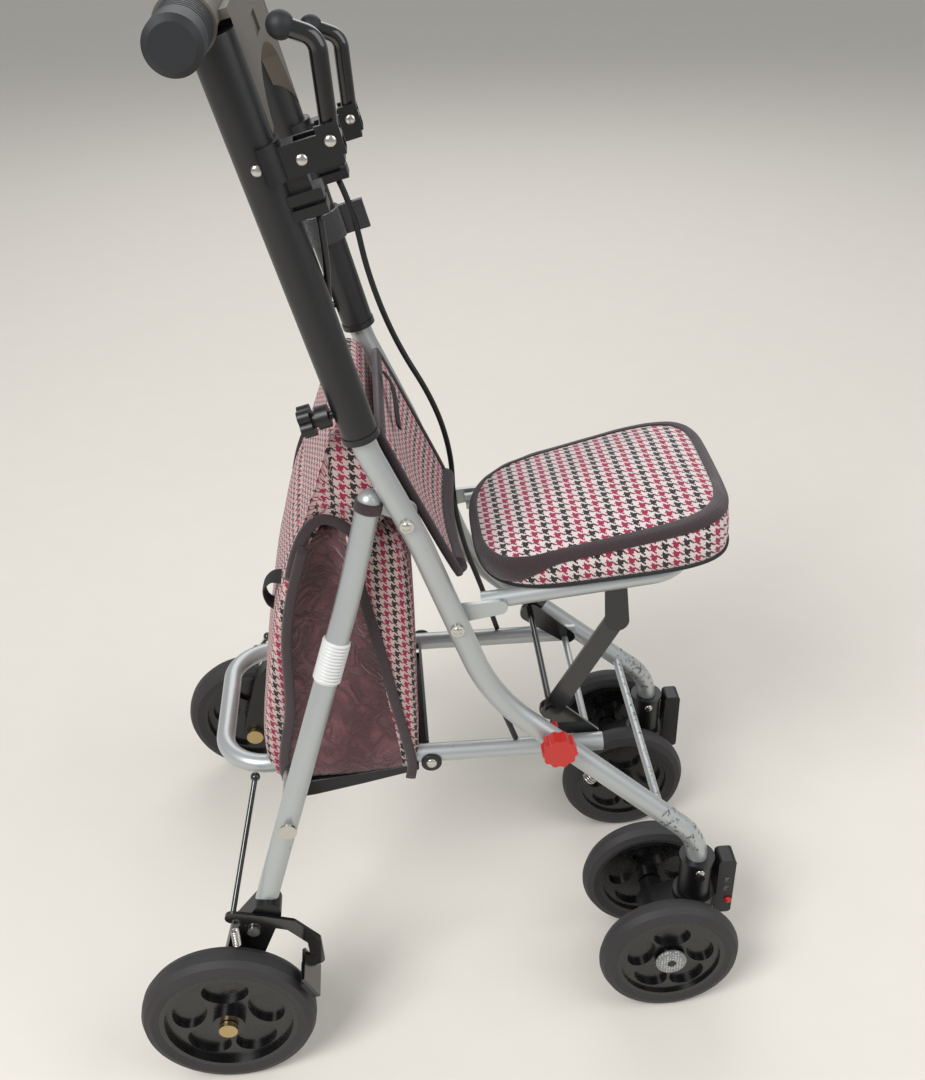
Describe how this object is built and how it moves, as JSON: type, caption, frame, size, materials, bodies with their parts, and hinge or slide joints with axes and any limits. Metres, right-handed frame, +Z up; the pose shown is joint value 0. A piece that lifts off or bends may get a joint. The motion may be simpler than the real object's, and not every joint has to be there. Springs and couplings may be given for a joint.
{
  "type": "folding walking cart",
  "caption": "Folding walking cart with a padded seat, backrest, shopping bag, hand brakes, height-adjustable handle, rear wheels and twin-wheel front casters.",
  "frame": {"origin": "on the floor under the middle of the cart's length and width", "axes": "+X towards the front casters, +Y to the user's left, +Z up"},
  "size_m": [0.5358, 0.4386, 0.8818],
  "materials": {
    "silver_tube": "satin silver enamel on tube",
    "black_powder": "fine textured black powder coat",
    "black_gloss_steel": "gloss black paint on steel",
    "grip_rubber": "matte ribbed rubber",
    "cover_plastic": "matte grey-brown moulded plastic",
    "black_plastic": "moulded black nylon",
    "hub_plastic": "semi-gloss moulded black plastic",
    "tyre_rubber": "matte solid tyre",
    "zinc_steel": "bright zinc-plated steel",
    "brass_bolt": "yellow zinc bolt",
    "red_plastic": "red moulded knob",
    "check_fabric": "woven houndstooth cloth, cream, black and crimson",
    "brown_binding": "ribbed dark brown binding tape",
    "brown_nylon": "thin dark brown nylon",
    "black_webbing": "black woven tape",
    "white_plastic": "white moulded clip",
    "reflector": "grey dotted reflector"
  },
  "bodies": {
    "main_frame": {"main_tube_right": "silver_tube", "main_tube_left": "silver_tube", "front_cross_bar": "silver_tube", "caster_collar_right": "black_plastic", "caster_collar_left": "black_plastic", "hinge_bolts": "zinc_steel", "backrest_cushion": "check_fabric", "bag_body": "check_fabric", "brake_cable_right": "black_plastic", "brake_cable_left": "black_plastic"},
    "rear_legs": {"rear_leg_right": "silver_tube", "rear_leg_left": "silver_tube", "leg_foot_right": "black_plastic", "leg_foot_left": "black_plastic", "rear_axle_right": "brass_bolt", "rear_axle_left": "brass_bolt", "frame_pivot_rod": "zinc_steel", "arm_pins": "zinc_steel"},
    "lower_frame": {"lower_frame_tube": "silver_tube", "lower_cross_bar": "silver_tube", "link_bracket": "black_gloss_steel", "bag_base_plate": "black_plastic"},
    "seat": {"seat_frame": "silver_tube", "seat_cushion": "check_fabric"},
    "handle": {"handle_sleeve_right": "black_powder", "handle_sleeve_left": "black_powder", "handle_bar": "black_powder", "grip_right": "grip_rubber", "grip_left": "grip_rubber", "handle_cover": "cover_plastic", "brake_clamp_right": "black_plastic", "brake_clamp_left": "black_plastic", "cable_strap": "black_webbing"},
    "lock_knob": {"lock_knob": "red_plastic"},
    "seat_link_right": {"seat_link_right": "black_gloss_steel"},
    "brake_lever_right": {"brake_lever_right": "black_gloss_steel"},
    "height_knob_right": {"height_knob_right": "black_plastic"},
    "brake_arm_right": {"brake_arm_right": "black_gloss_steel", "brake_pad_right": "grip_rubber"},
    "rear_wheel_right": {"rear_tyre_right": "tyre_rubber", "rear_hub_right": "hub_plastic"},
    "caster_right": {"caster_fork_right": "black_plastic", "caster_lock_right": "black_plastic"},
    "caster_wheel_right_outer": {"caster_tyre_right_outer": "tyre_rubber", "caster_hub_right_outer": "hub_plastic"},
    "caster_wheel_right_inner": {"caster_tyre_right_inner": "tyre_rubber", "caster_hub_right_inner": "hub_plastic"},
    "seat_link_left": {"seat_link_left": "black_gloss_steel"},
    "brake_lever_left": {"brake_lever_left": "black_gloss_steel"},
    "height_knob_left": {"height_knob_left": "black_plastic"},
    "brake_arm_left": {"brake_arm_left": "black_gloss_steel", "brake_pad_left": "grip_rubber"},
    "rear_wheel_left": {"rear_tyre_left": "tyre_rubber", "rear_hub_left": "hub_plastic"},
    "caster_left": {"caster_fork_left": "black_plastic", "caster_lock_left": "black_plastic"},
    "caster_wheel_left_outer": {"caster_tyre_left_outer": "tyre_rubber", "caster_hub_left_outer": "hub_plastic"},
    "caster_wheel_left_inner": {"caster_tyre_left_inner": "tyre_rubber", "caster_hub_left_inner": "hub_plastic"}
  },
  "joints": [
    {"name": "leg_fold", "type": "hinge", "parent": "main_frame", "child": "rear_legs", "pos_m": [-0.01767, 0, 0.5072], "axis": [0, -1, 0], "range_deg": [0, 35], "deforming": ["bag_body"]},
    {"name": "lower_fold", "type": "hinge", "parent": "rear_legs", "child": "lower_frame", "pos_m": [-0.1279, 0, 0.251], "axis": [0, -1, 0], "range_deg": [0, 35]},
    {"name": "seat_fold", "type": "hinge", "parent": "main_frame", "child": "seat", "pos_m": [0.01844, 0, 0.4075], "axis": [0, -1, 0], "range_deg": [0, 100], "deforming": ["backrest_cushion"]},
    {"name": "handle_height", "type": "slide", "parent": "main_frame", "child": "handle", "axis": [-0.2575, 0, 0.9663], "range_m": [0, 0.1], "deforming": ["brake_cable_right", "brake_cable_left"]},
    {"name": "lock_knob_turn", "type": "hinge", "parent": "main_frame", "child": "lock_knob", "pos_m": [0.1006, -0.103, 0.285], "axis": [0, -1, 0], "range_deg": [0, 360]},
    {"name": "link_fold_right", "type": "hinge", "parent": "seat", "child": "seat_link_right", "pos_m": [0.1537, -0.0748, 0.381], "axis": [0, -1, 0], "range_deg": [-33.7, 0]},
    {"name": "lever_right", "type": "hinge", "parent": "handle", "child": "brake_lever_right", "pos_m": [-0.05301, -0.103, 0.7919], "axis": [0, -1, 0], "range_deg": [0, 12], "stiffness_Nm_per_rad": 0.8, "springref_deg": -8.59},
    {"name": "height_knob_turn_right", "type": "hinge", "parent": "handle", "child": "height_knob_right", "pos_m": [-0.05298, -0.103, 0.60149], "axis": [-0.9663, 0, -0.2575], "range_deg": [0, 360]},
    {"name": "brake_right", "type": "hinge", "parent": "rear_legs", "child": "brake_arm_right", "pos_m": [-0.1643, -0.18, 0.159], "axis": [0, 1, 0], "range_deg": [0, 2]},
    {"name": "rear_wheel_spin_right", "type": "hinge", "parent": "rear_legs", "child": "rear_wheel_right", "pos_m": [-0.1929, -0.2, 0.075], "axis": [0, 1, 0], "continuous": true},
    {"name": "caster_swivel_right", "type": "hinge", "parent": "main_frame", "child": "caster_right", "pos_m": [0.2329, -0.1157, 0.091], "axis": [0, 0, 1], "continuous": true},
    {"name": "caster_spin_right_outer", "type": "hinge", "parent": "caster_right", "child": "caster_wheel_right_outer", "pos_m": [0.2011, -0.164, 0.064], "axis": [0, 1, 0], "continuous": true},
    {"name": "caster_spin_right_inner", "type": "hinge", "parent": "caster_right", "child": "caster_wheel_right_inner", "pos_m": [0.2011, -0.0674, 0.064], "axis": [0, 1, 0], "continuous": true},
    {"name": "link_fold_left", "type": "hinge", "parent": "seat", "child": "seat_link_left", "pos_m": [0.1537, 0.0748, 0.381], "axis": [0, -1, 0], "range_deg": [-33.7, 0]},
    {"name": "lever_left", "type": "hinge", "parent": "handle", "child": "brake_lever_left", "pos_m": [-0.04271, 0.103, 0.75325], "axis": [0, -1, 0], "range_deg": [0, 12], "stiffness_Nm_per_rad": 0.8, "springref_deg": -8.59},
    {"name": "height_knob_turn_left", "type": "hinge", "parent": "handle", "child": "height_knob_left", "pos_m": [-0.05298, 0.103, 0.60149], "axis": [-0.9663, 0, -0.2575], "range_deg": [0, 360]},
    {"name": "brake_left", "type": "hinge", "parent": "rear_legs", "child": "brake_arm_left", "pos_m": [-0.1643, 0.18, 0.159], "axis": [0, 1, 0], "range_deg": [0, 2]},
    {"name": "rear_wheel_spin_left", "type": "hinge", "parent": "rear_legs", "child": "rear_wheel_left", "pos_m": [-0.1929, 0.2, 0.075], "axis": [0, 1, 0], "continuous": true},
    {"name": "caster_swivel_left", "type": "hinge", "parent": "main_frame", "child": "caster_left", "pos_m": [0.2329, 0.1157, 0.091], "axis": [0, 0, 1], "continuous": true},
    {"name": "caster_spin_left_outer", "type": "hinge", "parent": "caster_left", "child": "caster_wheel_left_outer", "pos_m": [0.2011, 0.164, 0.064], "axis": [0, 1, 0], "continuous": true},
    {"name": "caster_spin_left_inner", "type": "hinge", "parent": "caster_left", "child": "caster_wheel_left_inner", "pos_m": [0.2011, 0.0674, 0.064], "axis": [0, 1, 0], "continuous": true}
  ],
  "couplings": [
    {"joint": "lower_fold", "follows": "leg_fold", "ratio": 1},
    {"joint": "seat_fold", "follows": "leg_fold", "ratio": 2.8571},
    {"joint": "link_fold_right", "follows": "leg_fold", "ratio": -0.96},
    {"joint": "brake_right", "follows": "lever_right", "ratio": 0.16667},
    {"joint": "link_fold_left", "follows": "leg_fold", "ratio": -0.96},
    {"joint": "brake_left", "follows": "lever_left", "ratio": 0.16667}
  ]
}
